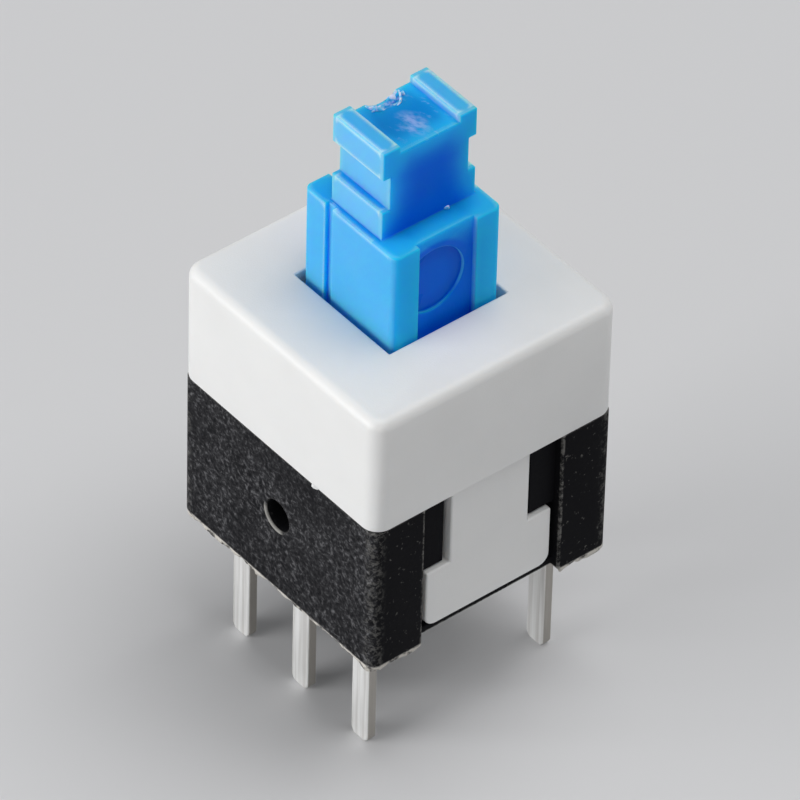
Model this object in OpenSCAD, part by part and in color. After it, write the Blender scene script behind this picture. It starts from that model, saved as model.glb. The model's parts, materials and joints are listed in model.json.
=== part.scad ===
// Latching push button switch with six pins in two rows, for a circuit board.
// Millimetres, Z up, origin on the board side between the two rows at the pin tips.

/* [Body] */
// Width of the square top cover across its flats
body_w = 8; // [7:0.1:10]
// How far the base's walls sit inside the cover's outline
base_inset = 0.05; // [0.02:0.01:0.15]
// Radius of the cover's upright edges
corner_r = 0.5; // [0.3:0.05:0.7]
// Radius of the base's upright edges
base_r = 0.28; // [0.15:0.01:0.4]
// Height of the base's walls from its underside to the cover's rim
base_h = 4.75; // [4.5:0.05:5.5]
// Thickness of the base's long walls, along the pin rows
long_wall = 0.8; // [0.7:0.02:0.9]
// Thickness of the base's end walls, behind the tongues
end_wall = 0.36; // [0.3:0.02:0.4]
// Thickness of the base's floor
floor_t = 0.9; // [0.7:0.05:1]
// Height of the cover above the base
cover_h = 3.7; // [3.4:0.05:4.5]
// Thickness of the cover's roof
roof_t = 1; // [0.8:0.05:1.2]
// Thickness of the cover's side walls
cover_wall = 0.8; // [0.6:0.05:0.85]
// Radius of the cover's top edge
top_r = 0.3; // [0.15:0.05:0.4]

/* [Snap tongues] */
// Width of a tongue's neck
neck_w = 2.6; // [2:0.05:3]
// Width of a tongue's foot
foot_w = 4.15; // [3.8:0.05:4.4]
// Height of a tongue's foot
foot_h = 1.9; // [1.5:0.05:2.2]
// Radius of the foot's lower corners
foot_r = 0.35; // [0.1:0.05:0.5]
// Thickness of a tongue
tongue_t = 0.5; // [0.4:0.05:0.55]
// How far a tongue's face lies behind the cover's face
tongue_inset = 0.18; // [0.1:0.02:0.24]
// How far the neck's root swells inwards under the cover
root_swell = 0.35; // [0.2:0.05:0.45]
// How far a snap barb stands out of the tongue's inner face
barb_d = 0.12; // [0.06:0.02:0.16]
// Width of a snap barb
barb_w = 0.8; // [0.5:0.05:1]
// Height of a snap barb
barb_h = 0.5; // [0.3:0.05:0.7]
// Height of the sill that closes the tongue's channel below
sill_h = 0.26; // [0.2:0.02:0.5]
// How far the sill lies behind the base's face
sill_inset = 0.3; // [0.2:0.05:0.4]

/* [Base details] */
// Diameter of the blind hole in each long wall
wall_hole_d = 0.95; // [0.7:0.05:1.2]
// Width of the upright rails that guide the plunger
rail_w = 0.5; // [0.3:0.05:0.6]
// Distance from the carriage's long faces to the rails
rail_margin = 0.17; // [0.1:0.01:0.3]
// Diameter of the peg that centres the spring
peg_d = 1.4; // [1:0.05:1.5]
// Height of the peg that centres the spring
peg_h = 0.7; // [0.4:0.05:0.9]

/* [Plunger] */
// Full travel of the plunger
travel = 2.2; // [1.8:0.05:2.4]
// Depth at which the latch holds the plunger
lock_travel = 1.5; // [1.3:0.05:1.6]
// Width of the shoulders under the roof at the ends of the pin rows
shoulder_x = 0.62; // [0.5:0.02:0.8]
// Width of the shoulders under the roof beside the pin rows
shoulder_y = 0.42; // [0.3:0.02:0.6]
// Height of the block above the cover
block_rise = 2.95; // [2.5:0.05:3.2]
// Radius of the block's upright edges
block_r = 0.22; // [0.1:0.02:0.3]
// Width of the ribs that frame each recessed panel
block_rib = 0.82; // [0.6:0.02:0.9]
// Depth of the recessed panels
panel_d = 0.15; // [0.1:0.05:0.25]
// Diameter of the round mark in a panel
mark_d = 2; // [1.6:0.05:2.1]
// Depth of the round mark
mark_depth = 0.1; // [0.05:0.01:0.14]
// Distance from the block's end to the groove in its long faces
groove_at = 0.9; // [0.6:0.05:1.2]
// Width of the groove
groove_w = 0.24; // [0.15:0.02:0.3]
// Depth of the groove
groove_d = 0.12; // [0.08:0.02:0.16]
// Width of the block's shelf at each end of the head
shelf_x = 0.825; // [0.7:0.005:0.9]
// Width of the block's shelf on each notched side of the head
shelf_y = 0.23; // [0.15:0.01:0.3]
// Height of the head's plain foot
head_foot_h = 0.88; // [0.6:0.01:1.1]
// Height of the notch that a cap snaps into
notch_h = 1.06; // [0.8:0.02:1.3]
// Depth of the notch
notch_d = 0.24; // [0.15:0.01:0.35]
// Height of the ledge above the notch
ledge_h = 0.89; // [0.7:0.01:1.1]
// Width of the two bars across the top of the head
bar_w = 0.56; // [0.4:0.02:0.75]
// Depth of the saddle between the bars
saddle_d = 0.22; // [0.15:0.01:0.35]
// Width of the scoop that the moulding gate left in one end of the saddle
gate_w = 1; // [0.7:0.05:1.4]
// Depth of the gate's scoop at the saddle's end
gate_depth = 0.2; // [0.1:0.02:0.3]

/* [Terminals] */
// Length of the pins below the base
pin_len = 3.95; // [3:0.05:4.5]
// Width of a pin
pin_w = 0.7; // [0.5:0.02:0.74]
// Thickness of a terminal's strip
strip_t = 0.3; // [0.2:0.01:0.32]
// Width of a terminal's blade inside the base
blade_w = 0.8; // [0.76:0.01:0.86]
// Length of a pin's tapered tip
tip_h = 0.16; // [0.1:0.02:0.4]
// Length of the relief pocket beside each pin
relief_len = 0.45; // [0.2:0.05:0.5]
// Depth of the relief pocket
relief_depth = 0.5; // [0.3:0.05:0.6]

/* [Contact clips] */
// Thickness of a clip's sheet
clip_t = 0.15; // [0.1:0.01:0.18]
// How far a clip's long fingers reach out from the plunger
clip_reach = 0.57; // [0.5:0.01:0.65]
// Height of a clip's plate
clip_h = 1.1; // [0.9:0.05:1.3]
// Width of a clip's finger
finger_w = 0.6; // [0.4:0.02:0.7]
// Diameter of the stakes that hold a clip
stake_d = 0.5; // [0.4:0.02:0.6]
// How far a stake's end stands out of the clip
stake_proud = 0.1; // [0.05:0.01:0.14]

/* [Latch] */
// Diameter of the latch wire
wire_d = 0.3; // [0.25:0.01:0.34]
// Height of the latch's pivot above the floor
pivot_rise = 0.55; // [0.4:0.05:0.7]
// Sideways shift of the latch's tip over the full travel
cam_shift = 0.5; // [0.4:0.02:0.55]
// Sideways place of the way out of the cam track
cam_return = 0.6; // [0.55:0.02:0.7]
// Depth of the cam track
cam_depth = 0.6; // [0.45:0.05:0.65]
// Height of the track's lower end above the plunger's bottom
cam_margin = 0.6; // [0.45:0.05:0.8]

/* [Spring] */
// Outside diameter of the return spring
spring_d = 2.4; // [2.3:0.05:2.5]
// Diameter of the spring wire
spring_wire = 0.25; // [0.18:0.01:0.3]
// Number of turns
spring_turns = 8; // [6:1:9]
// Depth of solid plunger above the spring's bore, below the roof
spring_roof = 1.1; // [0.8:0.05:1.4]

/* [Clearances] */
// Gap on each side of the plunger in the cover along the pin rows
play_x = 0.075; // [0.05:0.005:0.12]
// Gap on each side of the plunger in the cover across the pin rows
play_y = 0.175; // [0.1:0.005:0.2]
// Gap left under the plunger at the end of its travel
end_gap = 0.25; // [0.15:0.05:0.35]
// Gap between parts that are pushed together
seat_gap = 0.03; // [0.02:0.005:0.05]
// Gap between parts that slide past each other
slide_gap = 0.08; // [0.06:0.005:0.1]
// Gap on each side of a tongue's foot in its channel
foot_gap = 0.2; // [0.1:0.02:0.24]

/* [Hidden] */
$fn = 48;

// Overrun of every cut past the face it opens
over = 0.2;

// Share of a pin's width that is left flat at its tip
tip_share = 0.66;
// Share of the long wall's thickness that its blind hole takes
hole_share = 0.7;
// Share of the base's height at which the blind hole sits
hole_height_share = 0.54;
// Share of the clip's plate width at which its stakes stand
stake_share = 0.24;
// Place of the round mark along its panel, as a share of the panel's width
mark_share = -0.19;
// Height of the round mark above the cover, as a share of the block's rise
mark_height_share = 0.5;
// Place of the lock notch, as a share of the cam's return lane
lock_share = 0.12;
// Heights along the cam's return lane, as shares of the full travel
return_top_share = 0.93;
return_bend_share = 0.42;
// Height of the barbs above the foot's lower edge, as a share of the foot's height
barb_share = 0.35;
// Place of the barbs along the foot, as a share of its width
barb_place_share = 0.32;
// Share of the contact height that the lower blade covers
lower_share = 0.32;

// Levels from the pin tips upwards
base_z = pin_len;
floor_z = base_z + floor_t;
rim_z = base_z + base_h;
top_z = rim_z + cover_h;
ceiling_z = top_z - roof_t;
block_z = top_z + block_rise;
head_z = block_z + head_foot_h + notch_h + ledge_h;

// Plan of the base, from its walls inwards
base_w = body_w - 2 * base_inset;
base_half = base_w / 2;
tongue_in = body_w / 2 - tongue_inset - tongue_t;
channel_x = tongue_in - seat_gap;
cavity_x = channel_x - end_wall;
cavity_y = base_half - long_wall;
hole_z = base_z + base_h * hole_height_share;

// Pins, which stand against the walls: 2.5 between neighbours and 5.94 between the rows
pin_pitch = cavity_x - seat_gap - blade_w / 2;
row_y = cavity_y - seat_gap - strip_t / 2;

// Tongues' channels
channel_w = foot_w + 2 * foot_gap;
sill_z = base_z + sill_h;
foot_z = sill_z + slide_gap;
side_wall_z = rim_z - root_swell - slide_gap;
barb_z = foot_z + foot_h * barb_share;
barb_y = foot_w * barb_place_share;

// Plunger's carriage under the roof, in the room that the latch and the clips leave
carriage_top = ceiling_z - seat_gap;
carriage_bottom = floor_z + travel + end_gap;
carriage_half_x = cavity_x - 2 * slide_gap - wire_d;
carriage_half_y = row_y - strip_t / 2 - slide_gap - clip_reach;
rail_x = carriage_half_x + slide_gap;
rail_y = carriage_half_y - rail_margin - rail_w / 2;

// Block and head above the shoulders
block_x = 2 * (carriage_half_x - shoulder_x);
block_y = 2 * (carriage_half_y - shoulder_y);
head_x = block_x - 2 * shelf_x;
head_y = block_y - 2 * shelf_y;
opening_x = block_x + 2 * play_x;
opening_y = block_y + 2 * play_y;

// Spring and its bore
bore_d = spring_d + 4 * slide_gap;
bore_top = ceiling_z - spring_roof;

// Clips
clip_w = 2 * (cavity_x - 2 * slide_gap);
stake_x = clip_w * stake_share;
short_reach = clip_reach - strip_t + seat_gap;
clip_z = rim_z - clip_h / 4;
stake_z = clip_z + clip_h / 2;

// Terminals' blades
blade_top = rim_z - 2 * slide_gap;
short_finger_z = clip_z + clip_t - short_reach;
long_finger_z = clip_z + clip_t - clip_reach;
jog_end = short_finger_z - short_reach - slide_gap;
jog_start = jog_end - strip_t;
lower_top = floor_z + (long_finger_z - floor_z) * lower_share + clip_reach;

// Latch
wire_r = wire_d / 2;
stem_x = carriage_half_x + slide_gap + wire_r;
pivot_z = floor_z + pivot_rise;
tip_z = carriage_bottom + cam_margin;
lane_d = wire_d + 2 * slide_gap;

// Box centred on Z between two heights
module slab(x, y, low, high) {
    translate([-x / 2, -y / 2, low])
        cube([x, y, high - low]);
}

// Rectangle with round corners, centred
module rounded_rect(x, y, r) {
    square([x - 2 * r, y], center = true);
    square([x, y - 2 * r], center = true);
    for (sx = [-1, 1], sy = [-1, 1])
        translate([sx * (x / 2 - r), sy * (y / 2 - r)])
            circle(r);
}

// Outline in Y and Z carried along X from a start
module along_x(start, length) {
    translate([start, 0, 0])
        rotate([90, 0, 90])
            linear_extrude(length)
                children();
}

// Outline in X and Z carried along Y from a start
module along_y(start, length) {
    translate([0, start + length, 0])
        rotate([90, 0, 0])
            linear_extrude(length)
                children();
}

// Both sides of the body along X
module both_ends() {
    children();
    mirror([1, 0, 0])
        children();
}

// Both sides of the body along Y
module both_rows() {
    children();
    mirror([0, 1, 0])
        children();
}

// A piece of the row at positive Y, turned over into the row at negative Y
module left_row() {
    mirror([0, 1, 0])
        children();
}

// Straight lane with round ends between two points
module lane(from, to, width) {
    run = to - from;
    translate(from)
        circle(d = width);
    translate(to)
        circle(d = width);
    translate(from)
        rotate(atan2(run.y, run.x))
            translate([0, -width / 2])
                square([norm(run), width]);
}

// Round bar along X from a start
module bar_x(start, length, d) {
    translate([start, 0, 0])
        rotate([0, 90, 0])
            cylinder(h = length, d = d);
}

// Outer form of the cover with rounded upright and top edges
module cover_form() {
    inset = body_w / 2 - corner_r;
    hull()
        for (sx = [-1, 1], sy = [-1, 1])
            translate([sx * inset, sy * inset, rim_z]) {
                cylinder(h = cover_h - top_r, r = corner_r, $fn = 32);
                translate([0, 0, cover_h - top_r])
                    rotate_extrude($fn = 32)
                        translate([corner_r - top_r, 0])
                            intersection() {
                                circle(top_r, $fn = 32);
                                square(top_r);
                            }
            }
}

// T-shaped outline of a tongue
module tongue_outline() {
    translate([0, foot_z + foot_h / 2])
        rounded_rect(foot_w, foot_h, foot_r);
    translate([-foot_w / 2, foot_z + foot_h / 2])
        square([foot_w, foot_h / 2]);
    translate([-neck_w / 2, foot_z + foot_h / 2])
        square([neck_w, rim_z + over - foot_z - foot_h / 2]);
}

// Swelling where the neck runs into the cover's wall, with a hollow fillet below
module tongue_root() {
    along_y(-neck_w / 2, neck_w) {
        difference() {
            translate([tongue_in - root_swell, rim_z - root_swell])
                square([root_swell + tongue_t / 2, root_swell]);
            translate([tongue_in - root_swell, rim_z - root_swell])
                circle(root_swell);
        }
        translate([tongue_in - root_swell, rim_z])
            square([root_swell + tongue_t / 2, cover_h - roof_t / 2]);
    }
}

// Wedges on the tongue's inner face that snap into the base
module tongue_barbs() {
    both_rows()
        translate([0, barb_y, 0])
            along_y(-barb_w / 2, barb_w)
                polygon([
                    [tongue_in + tongue_t / 2, barb_z],
                    [tongue_in, barb_z],
                    [tongue_in - barb_d, barb_z + barb_h],
                    [tongue_in + tongue_t / 2, barb_z + barb_h]
                ]);
}

module top_cover() {
    color("whitesmoke") {
        difference() {
            cover_form();
            slab(body_w - 2 * cover_wall, body_w - 2 * cover_wall, rim_z - over, ceiling_z);
            slab(opening_x, opening_y, rim_z, top_z + over);
        }
        both_ends() {
            along_x(tongue_in, tongue_t)
                tongue_outline();
            tongue_root();
            tongue_barbs();
        }
    }
}

// Channel that takes a tongue, open at the top and closed below by the sill
module tongue_channel() {
    depth = base_half - channel_x + over;
    translate([channel_x, -channel_w / 2, sill_z])
        cube([depth, channel_w, rim_z - sill_z + over]);
    translate([base_half - sill_inset, -channel_w / 2, base_z - over])
        cube([sill_inset + over, channel_w, sill_h + 2 * over]);
    translate([cavity_x - over, -neck_w / 2 - slide_gap, side_wall_z])
        cube([channel_x - cavity_x + 2 * over, neck_w + 2 * slide_gap, rim_z - side_wall_z + over]);
    both_rows()
        translate([channel_x - barb_d, barb_y - barb_w / 2 - seat_gap, barb_z - seat_gap])
            cube([barb_d + over, barb_w + 2 * seat_gap, barb_h + 2 * seat_gap]);
}

// Slot for one terminal, with the relief pocket on its outer side
module terminal_slot() {
    slot_w = pin_w + 2 * seat_gap;
    slot_y = -strip_t / 2 - seat_gap;
    translate([-slot_w / 2, slot_y, base_z - over])
        cube([slot_w, strip_t + 2 * seat_gap, floor_t + 2 * over]);
    translate([-slot_w / 2, slot_y, base_z - over])
        cube([slot_w, strip_t + seat_gap + relief_len, relief_depth + over]);
}

module base() {
    color("#202124")
        difference() {
            union() {
                difference() {
                    translate([0, 0, base_z])
                        linear_extrude(base_h)
                            rounded_rect(base_w, base_w, base_r);
                    slab(2 * cavity_x, 2 * cavity_y, floor_z, rim_z + over);
                }
                both_ends()
                    both_rows()
                        translate([rail_x, rail_y - rail_w / 2, floor_z - over])
                            cube([channel_x - rail_x, rail_w, side_wall_z - floor_z + over]);
                translate([0, 0, floor_z - over])
                    cylinder(h = peg_h + over, d = peg_d);
            }
            both_ends()
                tongue_channel();
            both_rows()
                for (i = [-1, 0, 1])
                    translate([i * pin_pitch, row_y, 0])
                        terminal_slot();
            both_rows()
                translate([0, base_half - long_wall * hole_share, hole_z])
                    rotate([-90, 0, 0])
                        cylinder(h = long_wall * hole_share + over, d = wall_hole_d);
            translate([0, 0, pivot_z])
                bar_x(-channel_x - over, channel_x - cavity_x + 2 * over, wire_d + slide_gap);
        }
}

// Recessed panel in a block's end face with the round mark
module block_panel() {
    panel_w = block_y - 2 * block_rib;
    panel_x = block_x / 2 - panel_d;
    translate([panel_x, -panel_w / 2, carriage_top])
        cube([panel_d + over, panel_w, block_z - carriage_top + over]);
    intersection() {
        translate([0, panel_w * mark_share, top_z + block_rise * mark_height_share])
            bar_x(panel_x - mark_depth, mark_depth + panel_d, mark_d);
        slab(block_x, panel_w, carriage_top, block_z);
    }
}

// Head that takes a push-on cap
module plunger_head() {
    gate_r = (gate_w * gate_w / 4 + gate_depth * gate_depth) / (2 * gate_depth);
    difference() {
        slab(head_x, head_y, block_z - over, head_z);
        both_rows()
            translate([-head_x / 2 - over, head_y / 2 - notch_d, block_z + head_foot_h])
                cube([head_x + 2 * over, notch_d + over, notch_h]);
        slab(head_x + 2 * over, head_y - 2 * bar_w, head_z - saddle_d, head_z + over);
        translate([-head_x / 2, 0, head_z - saddle_d - gate_depth + gate_r])
            sphere(gate_r);
    }
}

// Heart-shaped track of the latch in Y and Z, from its lower end
module cam_track() {
    start = [0, 0];
    turn = [cam_shift, travel];
    lock = [-cam_return * lock_share, lock_travel];
    back = [-cam_return, travel * return_top_share];
    bend = [-cam_return, travel * return_bend_share];
    lane(start, turn, lane_d);
    lane(turn, lock, lane_d);
    lane(lock, back, lane_d);
    lane(back, bend, lane_d);
    lane(bend, start, lane_d);
}

module plunger() {
    color("#1f86e0") {
        difference() {
            union() {
                slab(2 * carriage_half_x, 2 * carriage_half_y, carriage_bottom, carriage_top);
                translate([0, 0, bore_top])
                    linear_extrude(block_z - bore_top)
                        rounded_rect(block_x, block_y, block_r);
            }
            both_ends()
                block_panel();
            both_rows()
                translate([groove_at - block_x / 2, block_y / 2 - groove_d, carriage_top])
                    cube([groove_w, groove_d + over, block_z - carriage_top + over]);
            translate([0, 0, carriage_bottom - over])
                cylinder(h = bore_top - carriage_bottom + over, d = bore_d);
            translate([0, 0, tip_z])
                along_x(-carriage_half_x - over, cam_depth + over)
                    cam_track();
        }
        plunger_head();
        both_rows()
            for (i = [-1, 1])
                translate([i * stake_x, carriage_half_y - over, stake_z])
                    rotate([-90, 0, 0])
                        cylinder(h = over + clip_t + stake_proud, d = stake_d);
    }
}

// Height of the spring wire's centre after a number of turns, with a closed turn at each end
function coil_z(turns) =
    let (low = floor_z + seat_gap + spring_wire / 2)
    let (high = bore_top - seat_gap - spring_wire / 2)
    let (closed = spring_wire + seat_gap)
    let (pitch = (high - low - 2 * closed) / (spring_turns - 2))
    turns < 1 ? low + turns * closed
    : turns > spring_turns - 1 ? high - (spring_turns - turns) * closed
    : low + closed + (turns - 1) * pitch;

// One ring of points round the spring wire
function coil_ring(turns, sides) = [
    for (j = [0 : sides - 1])
        let (a = 360 * turns)
        let (b = 360 * j / sides)
        let (r = spring_d / 2 - spring_wire / 2 + spring_wire / 2 * cos(b))
        [r * cos(a), r * sin(a), coil_z(turns) + spring_wire / 2 * sin(b)]
];

module return_spring() {
    sides = 8;
    steps = 20;
    rings = spring_turns * steps;
    points = [for (i = [0 : rings]) each coil_ring(i / steps, sides)];
    walls = [
        for (i = [0 : rings - 1], j = [0 : sides - 1])
            let (k = (j + 1) % sides)
            [i * sides + j, i * sides + k, (i + 1) * sides + k, (i + 1) * sides + j]
    ];
    first = [for (j = [sides - 1 : -1 : 0]) j];
    last = [for (j = [0 : sides - 1]) rings * sides + j];
    color("#b9bcc0")
        polyhedron(points, concat(walls, [first, last]));
}

module latch_pin() {
    leg_end = channel_x - seat_gap;
    tip_end = carriage_half_x - cam_depth + slide_gap;
    color("#a9adb2") {
        translate([-stem_x, 0, pivot_z])
            cylinder(h = tip_z - pivot_z, d = wire_d);
        translate([0, 0, pivot_z])
            bar_x(-leg_end, leg_end - stem_x, wire_d);
        translate([0, 0, tip_z])
            bar_x(-stem_x, stem_x - tip_end, wire_d);
        for (z = [pivot_z, tip_z])
            translate([-stem_x, 0, z])
                sphere(d = wire_d);
    }
}

// Arched finger of a clip, seen from the end
module finger_arch(reach) {
    translate([carriage_half_y, clip_z + clip_t - reach])
        difference() {
            circle(reach);
            circle(reach - clip_t);
            translate([-reach - over, -reach - over])
                square([reach + over, 2 * (reach + over)]);
        }
}

// Clip on the row at positive Y, with long fingers on the common and lower blades
module contact_clip() {
    color("#c9a24e") {
        difference() {
            along_y(carriage_half_y, clip_t)
                translate([-clip_w / 2, clip_z])
                    square([clip_w, clip_h]);
            for (i = [-1, 1])
                translate([i * stake_x, carriage_half_y - over, stake_z])
                    rotate([-90, 0, 0])
                        cylinder(h = clip_t + 2 * over, d = stake_d + seat_gap);
        }
        for (x = [0, pin_pitch])
            along_x(x - finger_w / 2, finger_w)
                finger_arch(clip_reach);
        along_x(-pin_pitch - finger_w / 2, finger_w)
            finger_arch(short_reach);
    }
}

// Pin with a tapered tip, up to the top of the floor
module pin() {
    along_y(-strip_t / 2, strip_t)
        polygon([
            [-pin_w / 2 * tip_share, 0],
            [pin_w / 2 * tip_share, 0],
            [pin_w / 2, tip_h],
            [pin_w / 2, floor_z + seat_gap],
            [-pin_w / 2, floor_z + seat_gap],
            [-pin_w / 2, tip_h]
        ]);
}

// Terminal in the row at positive Y with a straight blade
module straight_terminal(x, high) {
    color("#c8cbce")
        translate([x, row_y, 0]) {
            pin();
            slab(blade_w, strip_t, floor_z, high);
        }
}

// Middle terminal, which the clip touches at every depth
module common_terminal() {
    straight_terminal(0, blade_top);
}

// Terminal that the clip touches only with the plunger down
module lower_terminal() {
    straight_terminal(pin_pitch, lower_top);
}

// Terminal that the clip touches only with the plunger up, whose blade steps inwards near its top
module upper_terminal() {
    shift = strip_t - seat_gap;
    color("#c8cbce")
        translate([-pin_pitch, row_y, 0]) {
            pin();
            along_x(-blade_w / 2, blade_w)
                polygon([
                    [strip_t / 2, floor_z],
                    [strip_t / 2, jog_start],
                    [strip_t / 2 - shift, jog_end],
                    [strip_t / 2 - shift, blade_top],
                    [-strip_t / 2 - shift, blade_top],
                    [-strip_t / 2 - shift, jog_end],
                    [-strip_t / 2, jog_start],
                    [-strip_t / 2, floor_z]
                ]);
        }
}

top_cover();
base();
plunger();
return_spring();
latch_pin();
left_row() contact_clip();  // contact_clip_left
contact_clip();  // contact_clip_right
left_row() common_terminal();  // common_terminal_left
common_terminal();  // common_terminal_right
left_row() upper_terminal();  // upper_terminal_left
upper_terminal();  // upper_terminal_right
left_row() lower_terminal();  // lower_terminal_left
lower_terminal();  // lower_terminal_right
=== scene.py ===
# %% [markdown]
# # A latching push button switch
#
# The real switch is a square block eight millimetres wide. A white cover clips
# over a black base, six flat pins leave the base below, and a blue plunger comes
# up through the roof and takes a push-on cap. The solids already have the true
# sizes and move on their own joints, so this lesson dresses them: it rolls their
# edges over, gives each material the marks that moulding and plating leave, and
# adds four small blocks beside the tongues and the ragged bits that no drawing
# shows. Sizes of the switch are written in millimetres, and MM turns them into
# Blender's metres. The table and the lamps are so much bigger that theirs are
# written in metres.

# %% Load the solids
import json
import math

import bmesh
import bpy
import numpy as np
from mathutils import Matrix, Vector


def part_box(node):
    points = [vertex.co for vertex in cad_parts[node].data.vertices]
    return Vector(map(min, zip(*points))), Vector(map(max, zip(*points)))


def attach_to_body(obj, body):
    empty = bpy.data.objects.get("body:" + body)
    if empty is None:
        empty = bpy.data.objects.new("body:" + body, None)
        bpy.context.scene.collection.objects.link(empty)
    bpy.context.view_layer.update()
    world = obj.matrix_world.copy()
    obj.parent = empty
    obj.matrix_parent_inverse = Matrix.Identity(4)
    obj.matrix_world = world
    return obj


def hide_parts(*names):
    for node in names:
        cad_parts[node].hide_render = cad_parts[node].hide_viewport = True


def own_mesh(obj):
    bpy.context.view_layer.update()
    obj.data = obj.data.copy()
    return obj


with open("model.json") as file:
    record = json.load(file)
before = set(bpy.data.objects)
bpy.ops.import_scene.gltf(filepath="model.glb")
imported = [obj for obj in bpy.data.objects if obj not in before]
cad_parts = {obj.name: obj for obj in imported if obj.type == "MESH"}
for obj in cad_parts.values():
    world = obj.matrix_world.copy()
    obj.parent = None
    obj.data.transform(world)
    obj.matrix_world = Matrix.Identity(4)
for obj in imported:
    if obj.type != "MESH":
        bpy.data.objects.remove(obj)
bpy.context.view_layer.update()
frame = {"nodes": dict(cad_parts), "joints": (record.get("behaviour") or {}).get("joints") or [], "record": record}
MM = 0.001
WELD = 0.0005 * MM

# %% [markdown]
# ## Where the camera stands
#
# Small parts are photographed from far away with a long lens, so that parallel
# edges stay almost parallel. The camera stands high to the right, which shows
# the roof and two walls at once, and it is rolled by a degree and a half, as a
# camera held over a table is.

# %% Camera
VIEW_AZIMUTH = math.radians(50.03)
VIEW_ELEVATION = math.radians(42.15)
VIEW_ROLL = math.radians(1.53)
VIEW_TARGET = Vector((0.15, -0.05, 8.5)) * MM
VIEW_DISTANCE = 241 * MM
LENS_MM = 420
CLIP_NEAR = 10 * MM
CLIP_FAR = 10.0


def direction(azimuth, elevation):
    """Unit vector from the object towards a place on the sky; azimuth 0 is the side at negative Y."""
    flat = math.cos(elevation)
    return Vector((math.sin(azimuth) * flat, -math.cos(azimuth) * flat, math.sin(elevation)))


def looking_at(target, away, distance, roll=0.0):
    """Placement of a camera or lamp that looks back at a target from a distance."""
    turn = (-away).to_track_quat("-Z", "Y").to_matrix().to_4x4()
    return Matrix.Translation(target + away * distance) @ turn @ Matrix.Rotation(roll, 4, "Z")


camera_data = bpy.data.cameras.new("camera")
camera_data.lens = LENS_MM
camera_data.clip_start = CLIP_NEAR
camera_data.clip_end = CLIP_FAR
camera = bpy.data.objects.new("camera", camera_data)
camera.matrix_world = looking_at(
    VIEW_TARGET, direction(VIEW_AZIMUTH, VIEW_ELEVATION), VIEW_DISTANCE, VIEW_ROLL
)
bpy.context.scene.collection.objects.link(camera)
bpy.context.scene.camera = camera
bpy.context.scene.view_settings.view_transform = "Standard"
print("camera at", [round(x / MM, 1) for x in camera.matrix_world.translation], "mm")

# %% [markdown]
# ## Shader maths as Python
#
# A finish is a sheet of nodes, and wiring dozens of them by hand hides the idea.
# Two small classes let it be written as sums. `Value` wraps one output socket, and
# Python's operators on it add Math nodes, so `1 - mask` reads as it would on paper.
# `Sheet` holds the nodes and adds any other node by its type.

# %% Value and Sheet


class Value:
    """One number that varies over a surface, which Python's operators can work on."""

    def __init__(self, sheet, socket):
        self.sheet = sheet
        self.socket = socket

    def maths(self, operation, first, second):
        """Value of a Math node with this operation on two values."""
        made = self.sheet.node("ShaderNodeMath", {"operation": operation}, {0: first, 1: second})
        return Value(self.sheet, made.outputs[0])

    def __add__(self, other):
        return self.maths("ADD", self, other)

    def __radd__(self, other):
        return self.maths("ADD", other, self)

    def __sub__(self, other):
        return self.maths("SUBTRACT", self, other)

    def __rsub__(self, other):
        return self.maths("SUBTRACT", other, self)

    def __mul__(self, other):
        return self.maths("MULTIPLY", self, other)

    def __rmul__(self, other):
        return self.maths("MULTIPLY", other, self)

    def __pow__(self, other):
        return self.maths("POWER", self, other)

    def least(self, other):
        """The smaller of two values."""
        return self.maths("MINIMUM", self, other)

    def most(self, other):
        """The larger of two values."""
        return self.maths("MAXIMUM", self, other)

    def size(self):
        """The value without its sign."""
        return self.maths("ABSOLUTE", self, 0)

    def step(self, low, high):
        """0 below low, 1 above high and a smooth S between them."""
        made = self.sheet.node(
            "ShaderNodeMapRange",
            {"interpolation_type": "SMOOTHSTEP"},
            {"Value": self, "From Min": low, "From Max": high},
        )
        return Value(self.sheet, made.outputs[0])


class Sheet:
    """A tree of shader nodes that grows by one node at a time."""

    def __init__(self, tree):
        self.tree = tree

    def node(self, kind, settings, inputs):
        """Any node: its settings are set first, then its sockets are filled or linked."""
        made = self.tree.nodes.new(kind)
        for key, value in settings.items():
            setattr(made, key, value)
        for key, value in inputs.items():
            if isinstance(value, Value):
                value = value.socket
            if isinstance(value, bpy.types.NodeSocket):
                self.tree.links.new(value, made.inputs[key])
            else:
                made.inputs[key].default_value = value
        return made


print("operators ready:", [n for n in vars(Value) if n.startswith("__") and "init" not in n])

# %% [markdown]
# ## A sheet for each material
#
# Plastic and metal look alike on paper: one Principled shader with a few numbers.
# What tells them apart is how those numbers change over the surface. A `Finish` is
# the sheet of one material. Its methods give what the marks are drawn from: the
# place on the piece in millimetres, noise, the way a face looks and how thin the
# stuff is. Object coordinates are used, so a mark stays where it is as a piece moves.

# %% Finish
UNTURNED = (0, 0, 0)
THIN_RAYS = 12


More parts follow.
